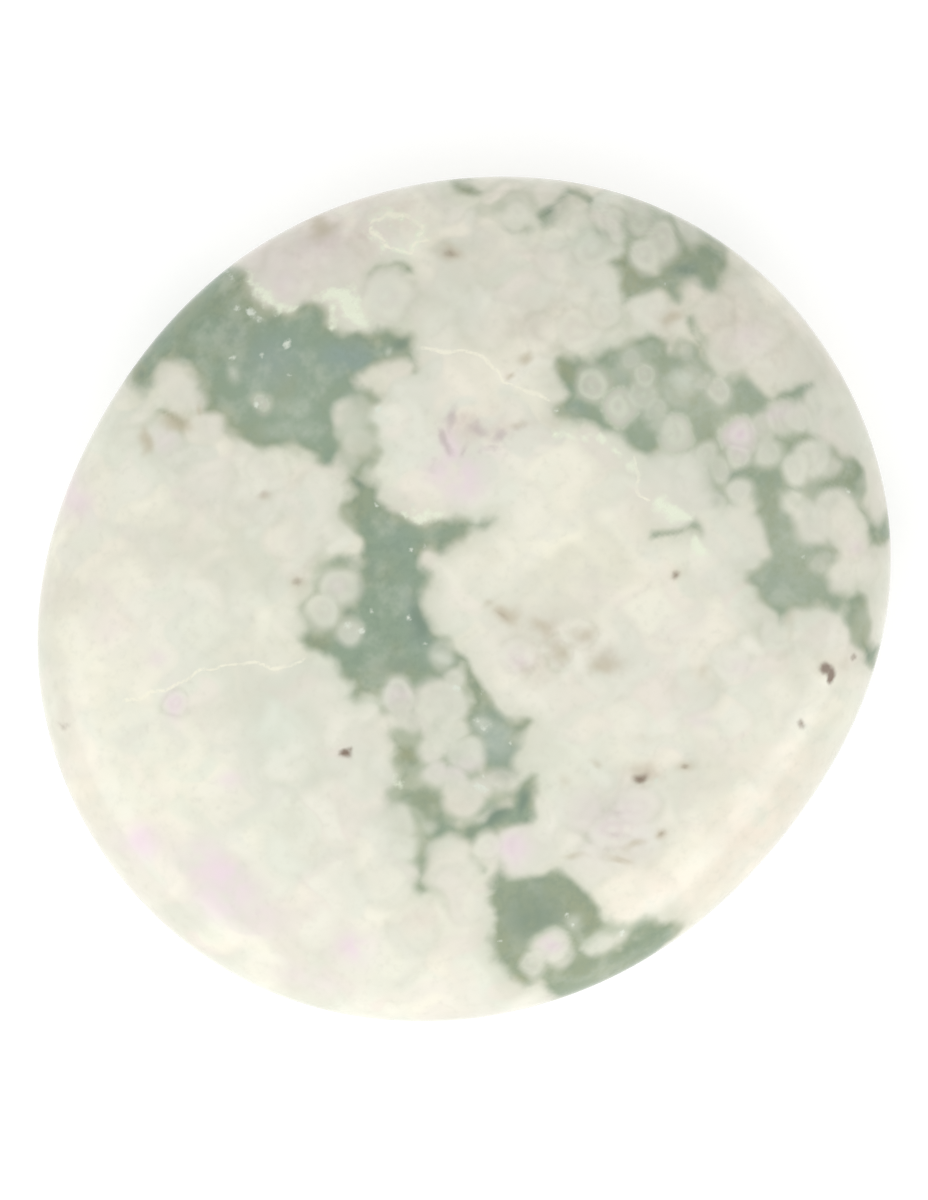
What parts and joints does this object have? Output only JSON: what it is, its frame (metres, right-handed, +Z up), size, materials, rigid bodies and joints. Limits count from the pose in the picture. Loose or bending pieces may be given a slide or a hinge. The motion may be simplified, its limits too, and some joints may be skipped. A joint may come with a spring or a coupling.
{
  "type": "jade pocket stone",
  "caption": "Flat oval pebble of pale mottled jade, polished all over, with gently domed faces and a full round rim. It lies on a small level spot.",
  "frame": {"origin": "on the surface that the stone rests on, under the middle of its box", "axes": "+Z up, through the stone's thickness; +X along its long axis; the face that the picture shows is on top"},
  "size_m": [0.0418, 0.038, 0.009],
  "materials": {
    "polished_jade": "tumbled and polished to a wet gloss; cream-white to pale green ground with sage-green patches, small round milky spots and faint lavender stains"
  },
  "bodies": {
    "root": {"pocket_stone": "polished_jade"}
  },
  "joints": []
}
